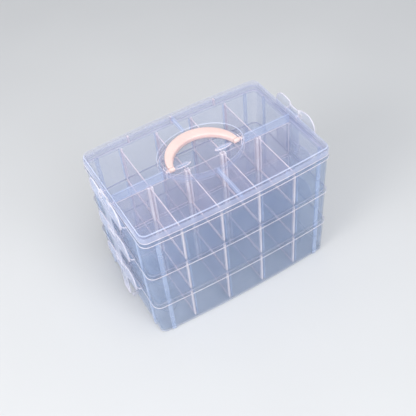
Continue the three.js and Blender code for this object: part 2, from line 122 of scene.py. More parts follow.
# Latch head: a bow-topped plate with two lobes. Heights are from the rim of the tray that the latch
# closes on. WINDOW_CUT is how far out from the hinge line a window's cutter starts and ends.
PLATE_OUT = 5.0
LATCH = 1.6
HEAD = 77.5
LOBES = 48.0
LOBE_UP = 21.0
WAIST_UP = 17.2
SHOULDER_UP = 6.1
HEAD_DOWN = 4.9
HEAD_CORNER = 2.5
STRIP = 17.8
TUCK = 1.8
WEB = 1.2
TUCK_START = 0.6
TUCK_END = 5.2
HEAD_BEAD = 0.6
HEAD_BEAD_OUT = 0.05
HEAD_BEAD_START = 1.0
WINDOW_SPACING = 22.5
WINDOW_WIDTH = 3.9
WINDOW_HEIGHT = 6.7
WINDOW_CUT = (0.2, 6.0)

# Latch arm, hook and ribbed grip. The grip's top and bottom are depths below the same rim.
ARM = 17.0
FLARE = 9.0
GRIP_TOP = 29.9
GRIP_BOTTOM = 44.2
GRIP_OVERLAP = 1.2
GRIP_STAND_OFF = 0.3
GRIP_PLATE = 1.6
GRIP_RIBS = 3
GRIP_RIB = 1.2
GRIP_RIB_PITCH = 3.2
GRIP_RIB_REACH = 0.5
HOOK = 1.9
HOOK_WIDTH = 20.0
HOOK_DROP = 0.5

# Lid
LID_UP = 15.1
BORDER = 2.7
BORDER_HEIGHT = 2.5
STEP_UP = 11.5
STEP_RISE = 0.6
TOP_INSET = 2.0
SKIRT_INSET = 0.5
BEAD_UP = 4.6
BEAD_RISE = 0.5
BEAD_INSET = 0.3
PANEL = 1.8
PANEL_LAP = 1.0
SKIRT = 1.5
LIP_DEPTH = 1.4
LONG_RIB = 1.6
LONG_RIB_DEPTH = 13.5
CROSS_RIB = 2.6
CROSS_RIB_DEPTH = 7.5
SKIRT_RIB = 2.0
SKIRT_RIB_SPACING = 59.5
SKIRT_RIB_UP = 0.6

# Oval recess in the lid. Its rounded corners are lists of offsets from the sharp corner, outwards
# and upwards.
RECESS_LENGTH = 105.8
RECESS_WIDTH = 76.9
RECESS_Y = 8.45
RECESS_DEPTH = 9.8
RECESS_WALL = 1.8
RECESS_DRAFT = 0.8
CUP_FOOT = [(-2, 0), (-0.6, 0.2), (0, 1)]
CUP_NECK = [(0, -0.6), (0.6, 0)]
RECESS_MOUTH = [(1.1, 0), (0.4, -0.15), (0, -0.7)]
RECESS_CORNER = [(0, 1.4), (-0.5, 0.4), (-1.6, 0)]

# Handle, the sockets for its pins, and the recess's two tongues, each with a slit in front of it
GRIP_RADIUS = 46.2
GRIP_DROP = 0.5
GRIP_MIDDLE = 15.2
GRIP_END = 6.8
GRIP_THICK = 7.5
PIVOT_DROP = 4.6
HANDLE_EYE = 3.0
HANDLE_PIN = 2.0
HANDLE_PIN_ROOT = 3.0
HANDLE_PIN_REACH = 4.6
SOCKET = 10.0
SOCKET_GAP = 1.0
SOCKET_LAP = 1.5
SOCKET_TOP_GAP = 1.0
TONGUE_X = 27.4
TONGUE_Y = 3.8
TONGUE_LENGTH = 22.4
TONGUE_WIDTH = 6.4
TONGUE_HEIGHT = 2.1
SLIT_LENGTH = 15.0
SLIT_WIDTH = 1.6
SLIT_GAP = 0.8
CUT_PAST = 1.0

# Heights and places that follow from the sizes
RIM_TOP = PITCH + NEST
RIM_BOTTOM = RIM_TOP - RIM
INSIDE_TOP = PITCH - GAP
SHOULDER = NEST + GAP
INNER_TOP = OVERHANG + WALL
OUTER_FOOT = OVERHANG + DRAFT
INNER_FOOT = OUTER_FOOT + WALL
NEST_INSET = INNER_TOP + GAP
WALL_MIDDLE = (OUTER_FOOT + INNER_TOP) / 2
HALF_X = RIM_LENGTH / 2
PIVOT_X = HALF_X + PIVOT_OUT
PLATE_X = PLATE_OUT - PIVOT_OUT
TOP_RIM = 2 * PITCH + RIM_TOP
LID_TOP = TOP_RIM + LID_UP
PANEL_TOP = LID_TOP - BORDER_HEIGHT
PANEL_BOTTOM = PANEL_TOP - PANEL
RECESS_FLOOR = PANEL_TOP - RECESS_DEPTH
HANDLE_Z = PANEL_TOP - PIVOT_DROP
HANDLE_EYE_X = GRIP_RADIUS - GRIP_END
BOW_RADIUS = (HALF_X**2 + BOW**2) / (2 * BOW)
BOW_CENTRE = RIM_WIDTH / 2 + BOW - BOW_RADIUS
DIVIDER_X = [(i - 1.5) * CELL for i in range(4)]

# Each storey's tray, the body that it is part of, and the piece that the latches above it hang on
STOREYS = [("bottom", "base", "middle"), ("middle", "middle", "top"), ("top", "top", "lid")]


# Materials


class Nodes:
    """A material's node tree, with short ways to add and join nodes."""

    def __init__(self, name):
        self.material = bpy.data.materials.new(name)
        self.material.use_nodes = True
        self.tree = self.material.node_tree
        self.shader = self.tree.nodes["Principled BSDF"]
        self.coords = self.add("ShaderNodeTexCoord").outputs["Object"]

    def add(self, kind, **values):
        node = self.tree.nodes.new(kind)
        for key, value in values.items():
            setattr(node, key, value)
        return node

    def link(self, source, target):
        self.tree.links.new(source, target)

    def noise(self, scale, detail, stretch=(1, 1, 1)):
        mapping = self.add("ShaderNodeMapping")
        mapping.inputs["Scale"].default_value = stretch
        self.link(self.coords, mapping.inputs["Vector"])
        node = self.add("ShaderNodeTexNoise")
        node.inputs["Scale"].default_value = scale
        node.inputs["Detail"].default_value = detail
        self.link(mapping.outputs["Vector"], node.inputs["Vector"])
        return node.outputs["Fac"]

    def ramp(self, source, low, high, start=0.35, end=0.65):
        """Spreads a source's range, by default the middle of a noise, over low to high."""
        node = self.add("ShaderNodeMapRange")
        node.inputs["From Min"].default_value = start
        node.inputs["From Max"].default_value = end
        node.inputs["To Min"].default_value = low
        node.inputs["To Max"].default_value = high
        self.link(source, node.inputs["Value"])
        return node.outputs["Result"]

    def total(self, first, second):
        """The sum of two sources, kept from 0 to 1."""
        node = self.add("ShaderNodeMath", operation="ADD", use_clamp=True)
        self.link(first, node.inputs[0])
        self.link(second, node.inputs[1])
        return node.outputs[0]

    def mix(self, factor, first, second):
        node = self.add("ShaderNodeMix", data_type="RGBA")
        node.inputs[6].default_value = (*first, 1)
        node.inputs[7].default_value = (*second, 1)
        self.link(factor, node.inputs[0])
        return node.outputs[2]

    def bump(self, source, strength, distance):
        node = self.add("ShaderNodeBump")
        node.inputs["Strength"].default_value = strength
        node.inputs["Distance"].default_value = distance
        self.link(source, node.inputs["Height"])
        self.link(node.outputs["Normal"], self.shader.inputs["Normal"])


PLASTIC_IOR = 1.49


def clear_plastic(name, low, high, face, slanted, roughness=0.25):
    """Moulded polypropylene: hazy, with soft flow marks, and cloudier where it is seen at a slant.

    low and high are the colours between which the haze varies. face is how much a wall hides seen
    straight on, and slanted how much is added to that at the flattest angle.
    """
    nodes = Nodes(name)
    shader = nodes.shader
    haze = nodes.noise(scale=38, detail=4)
    flow = nodes.noise(scale=16, detail=3, stretch=(0.35, 1, 2.2))
    speckle = nodes.noise(scale=900, detail=2)
    nodes.link(nodes.mix(nodes.ramp(haze, 0, 1), low, high), shader.inputs["Base Color"])
    gloss = nodes.ramp(flow, roughness * 0.75, roughness * 1.35)
    nodes.link(gloss, shader.inputs["Roughness"])
    slant = nodes.add("ShaderNodeLayerWeight")
    slant.inputs["Blend"].default_value = 0.35
    body = nodes.ramp(haze, face * 0.86, face * 1.14)
    cloud = nodes.ramp(slant.outputs["Facing"], 0, slanted, start=0, end=1)
    nodes.link(nodes.total(body, cloud), shader.inputs["Alpha"])
    shader.inputs["IOR"].default_value = PLASTIC_IOR
    surface = nodes.total(flow, nodes.ramp(speckle, 0, 0.12))
    nodes.bump(surface, strength=0.12, distance=0.0006)
    return nodes.material


def solid_plastic(name, low, high):
    """Opaque moulded plastic with fine grain and faint flow marks."""
    nodes = Nodes(name)
    shader = nodes.shader
    flow = nodes.noise(scale=30, detail=4, stretch=(1, 0.5, 1.5))
    grain = nodes.noise(scale=1400, detail=2)
    nodes.link(nodes.mix(nodes.ramp(flow, 0, 1), low, high), shader.inputs["Base Color"])
    nodes.link(nodes.ramp(flow, 0.32, 0.44), shader.inputs["Roughness"])
    shader.inputs["IOR"].default_value = PLASTIC_IOR
    shader.inputs["Subsurface Weight"].default_value = 0.15
    shader.inputs["Subsurface Radius"].default_value = (0.004, 0.0022, 0.002)
    shader.inputs["Subsurface Scale"].default_value = 1.0
    nodes.bump(nodes.total(nodes.ramp(grain, 0, 0.4), flow), strength=0.1, distance=0.0004)
    return nodes.material


# Walls of the trays and the lid, their ribs and edges, a band of painted light, and painted shade
SHELL = clear_plastic("shell_clear", (0.27, 0.38, 0.59), (0.35, 0.46, 0.67), 0.075, 0.36)
LID_SHELL = clear_plastic("lid_clear", (0.42, 0.47, 0.70), (0.50, 0.55, 0.78), 0.05, 0.28)
SHELL_EDGE = clear_plastic("shell_edge", (0.96, 0.86, 0.91), (0.98, 0.91, 0.95), 0.78, 0.2, 0.35)
RIB = clear_plastic("rib_clear", (0.54, 0.66, 0.92), (0.62, 0.73, 0.96), 0.20, 0.3, 0.4)
# Painted light: lighter plastic for light on the border, the recess mouth and the trays' foot band
PAINTED_LIGHT_BAND = clear_plastic("painted_light_band", (0.64, 0.70, 0.94), (0.72, 0.77, 0.97), 0.22, 0.4, 0.4)
BORDER_LINE = clear_plastic("border_line", (0.66, 0.74, 0.98), (0.76, 0.81, 0.99), 0.52, 0.3, 0.4)
# Painted shadow: a dark band for the shadow in the gap where a tray sits on the rim below
GAP_SHADE = clear_plastic("gap_shade", (0.10, 0.16, 0.24), (0.16, 0.22, 0.30), 0.50, 0.2, 0.5)
# Painted shade on the rims' tops under the next piece and on the lid's skirt face below its bead
SHADE = clear_plastic("soft_shade", (0.20, 0.29, 0.42), (0.26, 0.35, 0.48), 0.16, 0.3, 0.4)

# Guides on the centre walls and on the outer walls, then the centre walls and divider plates
GUIDE = clear_plastic("guide_clear", (0.98, 0.88, 0.92), (0.99, 0.93, 0.96), 0.94, 0.06, 0.3)
# WALL_RIB is a painted highlight: a bright copy on one wing of each outer-wall guide pair
WALL_RIB = clear_plastic("wall_rib", (0.98, 0.88, 0.92), (0.99, 0.93, 0.96), 0.76, 0.2, 0.35)
SHEET = clear_plastic("divider_clear", (0.52, 0.47, 0.60), (0.60, 0.54, 0.68), 0.08, 0.2, 0.3)
SHEET_EDGE = clear_plastic("divider_edge", (0.88, 0.75, 0.79), (0.92, 0.81, 0.84), 0.84, 0.1, 0.3)

LATCH_FACE = clear_plastic("latch_clear", (0.54, 0.61, 0.80), (0.62, 0.68, 0.86), 0.09, 0.32, 0.35)
LATCH_EDGE = clear_plastic("latch_edge", (0.86, 0.84, 0.94), (0.92, 0.90, 0.97), 0.40, 0.3, 0.35)
PEACH = solid_plastic("handle_peach", (0.80, 0.57, 0.54), (0.85, 0.65, 0.61))


# Mesh tools


class Shape:
    """Vertices and faces in millimetres, gathered before they become one mesh.

    face is the material of its faces, and edge that of their rounded edges, where a call names no
    other.
    """

    SHARP = math.radians(35)

    def __init__(self, face, edge=None):
        self.bm = bmesh.new()
        self.face = face
        self.edge = edge or face
        self.materials = [face]

    def place(self, material):
        """The material's place in the mesh's list, which it joins at its first use."""
        if material not in self.materials:
            self.materials.append(material)
        return self.materials.index(material)

    def loft(self, rings, bands=None, caps=None, closed=False):
        """Skin through rings of equal point counts.

        bands gives each band's material, and caps that of the ends, which a closed loft lacks.
        """
        count = len(rings[0])
        verts = [self.bm.verts.new(point) for ring in rings for point in ring]

        def add(corners, material):
            face = self.bm.faces.new([verts[k] for k in corners])
            face.material_index = self.place(material or self.face)
            face.smooth = True

        last = len(rings) if closed else len(rings) - 1
        for r in range(last):
            up = (r + 1) % len(rings)
            for i in range(count):
                j = (i + 1) % count
                corners = (r * count + i, r * count + j, up * count + j, up * count + i)
                add(corners, bands[r] if bands else None)
        if not closed:
            top = (len(rings) - 1) * count
            add(reversed(range(count)), caps)
            add(range(top, top + count), caps)

    def prism(self, points, lift, bevel=0.3, face=None, edge=None, holes=()):
        """A plate with the given outline, made thick along lift, with its edges rounded."""
        bm = bmesh.new()
        for loop in (points, *holes):
            verts = [bm.verts.new(p) for p in loop]
            for i, v in enumerate(verts):
                bm.edges.new((v, verts[(i + 1) % len(verts)]))
        if holes:
            bmesh.ops.triangle_fill(bm, use_beauty=True, use_dissolve=False, edges=bm.edges)
        else:
            bm.faces.new(bm.verts)
        made = bmesh.ops.extrude_face_region(bm, geom=bm.faces[:])
        moved = [v for v in made["geom"] if isinstance(v, bmesh.types.BMVert)]
        bmesh.ops.translate(bm, verts=moved, vec=lift)
        bmesh.ops.recalc_face_normals(bm, faces=bm.faces[:])
        place = self.place(face or self.face)
        for flat in bm.faces:
            flat.material_index = place
        if bevel:
            self.round_edges(bm, bevel, self.place(edge or self.edge))
        self.take(bm)

    def box(self, x, y, z, bevel=0.3, face=None, edge=None):
        (x0, x1), (y0, y1), (z0, z1) = (sorted(pair) for pair in (x, y, z))
        points = [(x0, y0, z0), (x1, y0, z0), (x1, y1, z0), (x0, y1, z0)]
        self.prism(points, (0, 0, z1 - z0), bevel, face, edge)

    def rod(self, radius, start, end, sides, bevel=0.3):
        start, end = Vector(start), Vector(end)
        turn = (end - start).to_track_quat("Z", "Y")
        ring = [start + turn @ Vector((x, y, 0)) for x, y in circle(0, 0, radius, sides)]
        self.prism(ring, end - start, bevel)

    def round_edges(self, bm, width, place):
        sharp = [
            e for e in bm.edges if len(e.link_faces) == 2 and e.calc_face_angle() > self.SHARP
        ]
        bmesh.ops.bevel(
            bm, geom=sharp, offset=width, segments=2, profile=0.5, affect="EDGES",
            clamp_overlap=True, material=place,
        )

    def take(self, bm):
        """Adds another bmesh's faces to this shape, and uses it up."""
        for face in bm.faces:
            face.smooth = True
        mesh = bpy.data.meshes.new("part")
        bm.to_mesh(mesh)
        bm.free()
        self.bm.from_mesh(mesh)
        bpy.data.meshes.remove(mesh)

    def drill(self, cutters):
        """Takes another shape away from this one, and uses it up."""
        body = bpy.data.objects.new("body", self.mesh("body"))
        tool = bpy.data.objects.new("tool", cutters.mesh("tool"))
        for obj in (body, tool):
            bpy.context.scene.collection.objects.link(obj)
        cut = body.modifiers.new("cut", "BOOLEAN")
        cut.operation, cut.solver, cut.object = "DIFFERENCE", "EXACT", tool
        cut.use_self = True
        graph = bpy.context.evaluated_depsgraph_get()
        result = bpy.data.meshes.new_from_object(body.evaluated_get(graph))
        self.bm = bmesh.new()
        self.bm.from_mesh(result)
        bmesh.ops.scale(self.bm, vec=(1 / MM, 1 / MM, 1 / MM), verts=self.bm.verts[:])
        spent = [body.data, tool.data, result]
        for obj in (body, tool):
            bpy.data.objects.remove(obj)
        for mesh in spent:
            bpy.data.meshes.remove(mesh)

    def mesh(self, name):
        """The shape as a mesh in metres. The shape itself is used up."""
        bmesh.ops.scale(self.bm, vec=(MM, MM, MM), verts=self.bm.verts[:])
        mesh = bpy.data.meshes.new(name)
        self.bm.to_mesh(mesh)
        self.bm.free()
        for material in self.materials:
            mesh.materials.append(material)
        mesh.shade_smooth()
        return mesh


def circle(cx, cy, radius, sides):
    angles = [2 * math.pi * i / sides for i in range(sides)]
    return [(cx + radius * math.cos(a), cy + radius * math.sin(a)) for a in angles]


def arc(cx, cy, radius, start, end, steps):
    angles = [start + (end - start) * i / steps for i in range(steps + 1)]
    return [(cx + radius * math.cos(a), cy + radius * math.sin(a)) for a in angles]


def bend(start, knee, end, t):
    """A point on the curve that leaves start and reaches end, both in line with the knee."""
    return start * (1 - t) ** 2 + knee * 2 * t * (1 - t) + end * t**2


# A corner of a wall's profile. mark is the material of its rounding, and flat that of the stretch
# after it, where they aren't the shape's own.
Corner = namedtuple("Corner", "inset height rounding mark flat", defaults=(0.5, None, None))


def rounded(profile, steps=3, share=0.45):
    """Rounds a profile's inner corners. Returns its points and each stretch's material.

    A rounding takes no more than the given share of a stretch beside it.
    """
    ends = [Vector((corner.inset, corner.height)) for corner in profile]
    points = [ends[0]]
    bands = []
    for i in range(1, len(profile) - 1):
        a, b, c = ends[i - 1 : i + 2]
        reach = min(profile[i].rounding, share * (a - b).length, share * (c - b).length)
        start = b + (a - b).normalized() * reach
        end = b + (c - b).normalized() * reach
        points += [start] + [bend(start, b, end, k / steps) for k in range(1, steps + 1)]
        bands += [profile[i - 1].flat] + [profile[i].mark] * steps
    return points + ends[-1:], bands + [profile[-2].flat]


# Plan of the box


def side_y(x, inset):
    """How far out a bowed long side is at x."""
    return BOW_CENTRE + math.sqrt((BOW_RADIUS - inset) ** 2 - x**2)


def outline(inset, z, corner_steps=10, bow_steps=30, end_steps=14):
    """The box's plan at an inset from the rim, counter-clockwise, as 3-D points."""
    corner_x = HALF_X - CORNER
    corner_y = side_y(corner_x, CORNER)
    turn = math.atan2(corner_y - BOW_CENTRE, corner_x)
    quarter = []
    for i in range(end_steps // 2):
        quarter.append((HALF_X - inset, corner_y * 2 * i / end_steps))
    quarter += arc(corner_x, corner_y, CORNER - inset, 0, turn, corner_steps)
    for i in range(1, bow_steps // 2 + 1):
        a = turn + (math.pi / 2 - turn) * 2 * i / bow_steps
        r = BOW_RADIUS - inset
        quarter.append((r * math.cos(a), BOW_CENTRE + r * math.sin(a)))
    back = quarter + [(-x, y) for x, y in reversed(quarter[:-1])]
    return [(x, y, z) for x, y in back] + [(-x, -y, z) for x, y in back[1:-1]]


# Latch ears, which both the lid and the trays have


def ears(shape, wall_x, height):
    """Two pairs of ears that carry latch pins, one pair at each end."""
    edge = [(wall_x, -EAR_RADIUS)]
    edge += arc(PIVOT_X, 0, EAR_RADIUS, -math.pi / 2, math.pi / 2, steps=12)
    edge += [(wall_x, EAR_RADIUS)]
    hole = circle(PIVOT_X, 0, PIN + GAP, sides=20)
    inner = BARREL_WIDTH / 2 + EAR_GAP
    for end in (1, -1):
        for side in (1, -1):
            points = [(end * x, side * inner, height + z) for x, z in edge]
            bore = [(end * x, side * inner, height + z) for x, z in hole]
            shape.prism(points, (0, side * EAR, 0), bevel=0.25, holes=[bore])


# Trays


def tray_mesh():
    shape = Shape(SHELL, SHELL_EDGE)
    tray_shell(shape)
    centre_wall(shape)
    divider_guides(shape)
    for sx in (-1, 1):
        for sy in (-1, 1):
            columns(shape, sx, sy)
            floor_ring(shape, sx * RING_X, sy * RING_Y)
    ledges(shape)
    ears(shape, HALF_X - WALL_MIDDLE, NEST + PIVOT_UP)
    return shape.mesh("tray")


def tray_shell(shape):
    """Floor, nesting foot, walls and rim in one skin, from the floor's underside to its top."""
    points, bands = rounded([
        Corner(NEST_INSET + FOOT_INSET, 0),
        Corner(NEST_INSET, FOOT_HEIGHT),
        Corner(NEST_INSET, SHOULDER, 0.2),
        # This rounding is painted shadow of the gap above the rim below; the stretch after it is
        # painted light.
        Corner(OUTER_FOOT, SHOULDER, 0.6, mark=GAP_SHADE, flat=PAINTED_LIGHT_BAND),
        Corner(OUTER_FOOT - DRAFT * FOOT_BAND_DRAFT, SHOULDER + FOOT_BAND, 0.3),
        Corner(OVERHANG, RIM_BOTTOM),
        Corner(0, RIM_BOTTOM, 0.9, mark=SHELL_EDGE, flat=SHELL_EDGE),
        Corner(0, RIM_TOP, 0.6, flat=SHADE),
        Corner(INNER_TOP, RIM_TOP),
        Corner(INNER_FOOT, FLOOR + FLOOR_FILLET, 0.8),
        Corner(INNER_FOOT + FLOOR_FILLET, FLOOR),
    ])
    shape.loft([outline(p.x, p.y) for p in points], bands)


def centre_wall(shape):
    """The wall along the tray's middle, with a guide at each end.

    Its foot, down in the nesting part, is a hair thinner, so that no two faces coincide.
    """
    half = CENTRE_WALL / 2
    end_x = HALF_X - WALL_MIDDLE
    zs = (SHOULDER + FLOOR / 2, INSIDE_TOP)
    shape.box((-end_x, end_x), (-half, half), zs, bevel=0.35, face=SHEET, edge=SHEET_EDGE)
    foot_x = HALF_X - NEST_INSET - FOOT_INSET
    foot_y = half - WALL_FOOT_THINNER
    foot_zs = (FLOOR / 2, SHOULDER + FLOOR + WALL_FOOT_OVERLAP)
    shape.box((-foot_x, foot_x), (-foot_y, foot_y), foot_zs, bevel=0, face=SHEET)
    for side in (-1, 1):
        xs = (side * end_x, side * (HALF_X - INNER_FOOT - GUIDE_REACH))
        ys = (-GUIDE_WIDTH / 2, GUIDE_WIDTH / 2)
        shape.box(xs, ys, (GUIDE_FOOT, INSIDE_TOP), bevel=0.4)


def divider_guides(shape):
    """A pair of guides at both ends of every divider, with its slot between them."""
    slot = PLATE / 2 + GAP
    half = CENTRE_WALL / 2
    for x in DIVIDER_X:
        for wing in (-1, 1):
            xs = (x + wing * slot, x + wing * GUIDE_WIDTH / 2)
            wall_xs = (x + wing * slot, x + wing * WALL_GUIDE / 2)
            for side in (-1, 1):
                ys = (side * (half - SINK), side * (half + GUIDE_REACH))
                shape.box(xs, ys, (FLOOR / 2, INSIDE_TOP), bevel=0.35, face=GUIDE, edge=GUIDE)
                wall = side * side_y(x, WALL_MIDDLE)
                front = side * (side_y(x, INNER_FOOT) - GUIDE_REACH)
                # Painted highlight: one wing of each pair is a bright copy, the other the dim rib
                look = WALL_RIB if wing * side > 0 else RIB
                zs = (GUIDE_FOOT, INSIDE_TOP)
                shape.box(wall_xs, (wall, front), zs, bevel=0.35, face=look, edge=look)


def columns(shape, sx, sy):
    """Two upright ribs on the tray's wall, one on each side of a corner."""
    x, y = sx * COLUMN_X, sy * COLUMN_Y
    zs = (SHOULDER, RIM_TOP - RIM / 2)
    deep = OUTER_FOOT - COLUMN_REACH
    ys = (sy * side_y(COLUMN_X, WALL_MIDDLE), sy * side_y(COLUMN_X, deep))
    shape.box((x - COLUMN / 2, x + COLUMN / 2), ys, zs, bevel=0.45, face=RIB, edge=RIB)
    xs = (sx * (HALF_X - WALL_MIDDLE), sx * (HALF_X - deep))
    shape.box(xs, (y - COLUMN / 2, y + COLUMN / 2), zs, bevel=0.45, face=RIB, edge=RIB)


def floor_ring(shape, x, y):
    """A low moulded ring on the tray's floor, near a corner."""
    outer, inner = RING_RADIUS, RING_RADIUS - RING_WIDTH
    section = [(outer, -RING_DEPTH), (outer, RING_HEIGHT), (inner, RING_HEIGHT)]
    section.append((inner, -RING_DEPTH))
    rings = [
        [(px, py, FLOOR + height) for px, py in circle(x, y, radius, sides=40)]
        for radius, height in section
    ]
    shape.loft(rings, [None, RIB, None, None], closed=True)


def ledges(shape):
    """The ledges at both ends that the latches above close over."""
    half = LEDGE_WIDTH / 2
    centre = HALF_X + LEDGE_REACH - LEDGE_CORNER
    root = HALF_X - OVERHANG
    points = [(root, -half)]
    points += arc(centre, LEDGE_CORNER - half, LEDGE_CORNER, -math.pi / 2, 0, steps=8)
    points += arc(centre, half - LEDGE_CORNER, LEDGE_CORNER, 0, math.pi / 2, steps=8)
    points += [(root, half)]
    top = RIM_TOP - LEDGE_DROP
    for end in (1, -1):
        shape.prism([(end * x, end * y, top) for x, y in points], (0, 0, -RIM), bevel=0.45)


def divider_mesh(x, facing=0.9):
    """The back row's plate that stands at x, made with its middle at x = 0."""
    bottom = FLOOR + GAP
    near = CENTRE_WALL / 2 + GUIDE_WEB + GAP
    far = side_y(x, INNER_FOOT) - GUIDE_WEB - GAP
    toe = side_y(x, INNER_FOOT + FLOOR_FILLET) - GAP
    points = [
        (near, bottom), (toe, bottom), (toe, FLOOR + FLOOR_FILLET), (far, GUIDE_FOOT),
        (far, INSIDE_TOP), (near, INSIDE_TOP),
    ]
    shape = Shape(SHEET, SHEET_EDGE)
    shape.prism([(-PLATE / 2, y, z) for y, z in points], (PLATE, 0, 0), bevel=0.3)
    for face in shape.bm.faces:
        if abs(face.normal.x) < facing:
            face.material_index = shape.place(SHEET_EDGE)
    return shape.mesh("divider")


# Lid


def lid_mesh():
    shape = Shape(LID_SHELL, SHELL_EDGE)
    lid_shell(shape)
    shape.drill(lid_cutters())
    lid_ribs(shape)
    recess_fittings(shape)
    ears(shape, HALF_X - TOP_INSET - GAP, TOP_RIM + PIVOT_UP)
    return shape.mesh("lid")


def lid_profile():
    """The lid's border, from the panel's underside over the lip, skirt and top to the panel."""
    lip_inner = NEST_INSET + SKIRT
    lip_bottom = TOP_RIM - LIP_DEPTH
    skirt_inner = SKIRT_INSET + SKIRT
    skirt_bottom = TOP_RIM + GAP
    bead = TOP_RIM + BEAD_UP
    skirt_face = SKIRT_INSET + BEAD_INSET
    step = TOP_RIM + STEP_UP
    shelf = step - SKIRT
    ridge = TOP_INSET + BORDER
    return [
        Corner(lip_inner + PANEL_LAP, PANEL_BOTTOM),
        Corner(lip_inner, PANEL_BOTTOM),
        Corner(lip_inner, lip_bottom),
        Corner(NEST_INSET, lip_bottom),
        Corner(NEST_INSET, shelf),
        Corner(skirt_inner, shelf),
        Corner(skirt_inner, skirt_bottom),
        Corner(SKIRT_INSET, skirt_bottom, flat=SHADE),
        Corner(SKIRT_INSET, bead, 0.7, mark=SHELL_EDGE, flat=SHELL_EDGE),
        # The border's outer face and the step carry painted light.
        Corner(skirt_face, bead + BEAD_RISE, 0.2, flat=PAINTED_LIGHT_BAND),
        Corner(skirt_face, step, 0.6, mark=PAINTED_LIGHT_BAND, flat=PAINTED_LIGHT_BAND),
        Corner(TOP_INSET, step + STEP_RISE),
        Corner(TOP_INSET, LID_TOP, 1.0, mark=BORDER_LINE),
        Corner(ridge, LID_TOP, 0.9),
        Corner(ridge, PANEL_TOP, 0.6),
        Corner(ridge + PANEL_LAP, PANEL_TOP),
    ]


def lid_shell(shape):
    """One skin: the cup under the recess, the panel's underside, the border, then the recess."""
    points, bands = rounded(lid_profile())
    border = [outline(p.x, p.y) for p in points]
    directions = [math.atan2(y - RECESS_Y, x) for x, y, _ in border[0]]

    def oval(grow, z):
        a, b = RECESS_LENGTH / 2 + grow, RECESS_WIDTH / 2 + grow
        ring = []
        for t in directions:
            r = a * b / math.hypot(b * math.cos(t), a * math.sin(t))
            ring.append((r * math.cos(t), RECESS_Y + r * math.sin(t), z))
        return ring

    def corner(grow, z, offsets):
        return [oval(grow + out, z + up) for out, up in offsets]

    cup = corner(RECESS_WALL - RECESS_DRAFT, RECESS_FLOOR - RECESS_WALL, CUP_FOOT)
    cup += corner(RECESS_WALL, PANEL_BOTTOM, CUP_NECK)
    recess = corner(0, PANEL_TOP, RECESS_MOUTH)
    recess += corner(-RECESS_DRAFT, RECESS_FLOOR, RECESS_CORNER)
    cup_bands = [None, SHELL_EDGE, None, None, None]
    # The recess mouth's rounding carries painted light.
    recess_bands = [None, PAINTED_LIGHT_BAND, BORDER_LINE, None, RIB, RIB]
    shape.loft(cup + border + recess, cup_bands + bands + recess_bands)


def lid_cutters():
    """The slits in front of the tongues, and the bores that the handle's pins turn in."""
    cutters = Shape(LID_SHELL)
    bore_end = HANDLE_PIN_REACH + GAP
    back = TONGUE_Y - TONGUE_WIDTH / 2 - SLIT_GAP
    zs = (RECESS_FLOOR - RECESS_WALL - CUT_PAST, RECESS_FLOOR + CUT_PAST)
    for side in (-1, 1):
        xs = (side * TONGUE_X - SLIT_LENGTH / 2, side * TONGUE_X + SLIT_LENGTH / 2)
        cutters.box(xs, (back - SLIT_WIDTH, back), zs, bevel=0)
        near = (side * (GRIP_RADIUS + SOCKET_GAP), 0, HANDLE_Z)
        far = (side * (GRIP_RADIUS + bore_end), 0, HANDLE_Z)
        cutters.rod(HANDLE_PIN + GAP, near, far, sides=20, bevel=0)
    return cutters


def lid_ribs(shape):
    """Ribs under the panel, along and across, and short ribs inside the long sides' skirt."""
    top = PANEL_TOP - PANEL / 2
    border = NEST_INSET + SKIRT / 2
    skirt_zs = (TOP_RIM + GAP + SKIRT_RIB_UP, TOP_RIM + STEP_UP - SKIRT)
    for side in (-1, 1):
        xs = (side * (HALF_X - border), side * (RECESS_LENGTH / 2 + RECESS_WALL / 2))
        ys = (-LONG_RIB / 2, LONG_RIB / 2)
        shape.box(xs, ys, (PANEL_TOP - LONG_RIB_DEPTH, top), face=RIB, edge=BORDER_LINE)
        xs = (-CROSS_RIB / 2, CROSS_RIB / 2)
        ys = (side * side_y(0, border), RECESS_Y + side * (RECESS_WIDTH / 2 + RECESS_WALL / 2))
        shape.box(xs, ys, (PANEL_TOP - CROSS_RIB_DEPTH, top), face=RIB, edge=BORDER_LINE)
        # Painted highlight: the back skirt ribs are lit, so bright; the front ones dim
        look = SHEET_EDGE if side > 0 else RIB
        for x in (-SKIRT_RIB_SPACING, 0, SKIRT_RIB_SPACING):
            xs = (x - SKIRT_RIB / 2, x + SKIRT_RIB / 2)
            ys = (side * side_y(x, SKIRT_INSET + SKIRT / 2), side * side_y(x, border))
            shape.box(xs, ys, skirt_zs, bevel=0.2, face=look, edge=look)


def recess_fittings(shape):
    """Sockets for the handle's pins, and a low oval tongue on either side of the middle."""
    low, high = RECESS_FLOOR - RECESS_WALL / 2, PANEL_TOP - SOCKET_TOP_GAP
    half = SOCKET / 2
    section = [(-half, low), (half, low), (half, high), (-half, high)]
    bore = circle(0, HANDLE_Z, HANDLE_PIN + GAP, sides=20)
    for side in (-1, 1):
        near = side * (GRIP_RADIUS + SOCKET_GAP)
        far = side * (RECESS_LENGTH / 2 - SOCKET_LAP)
        points = [(near, y, z) for y, z in section]
        holes = [[(near, y, z) for y, z in bore]]
        shape.prism(points, (far - near, 0, 0), bevel=0.5, holes=holes)
        tongue = [
            (side * TONGUE_X + TONGUE_LENGTH / 2 * c, TONGUE_Y + TONGUE_WIDTH / 2 * s, low)
            for c, s in circle(0, 0, 1, sides=28)
        ]
        shape.prism(tongue, (0, 0, TONGUE_HEIGHT), bevel=0.5, face=RIB, edge=SHEET_EDGE)


# Handle


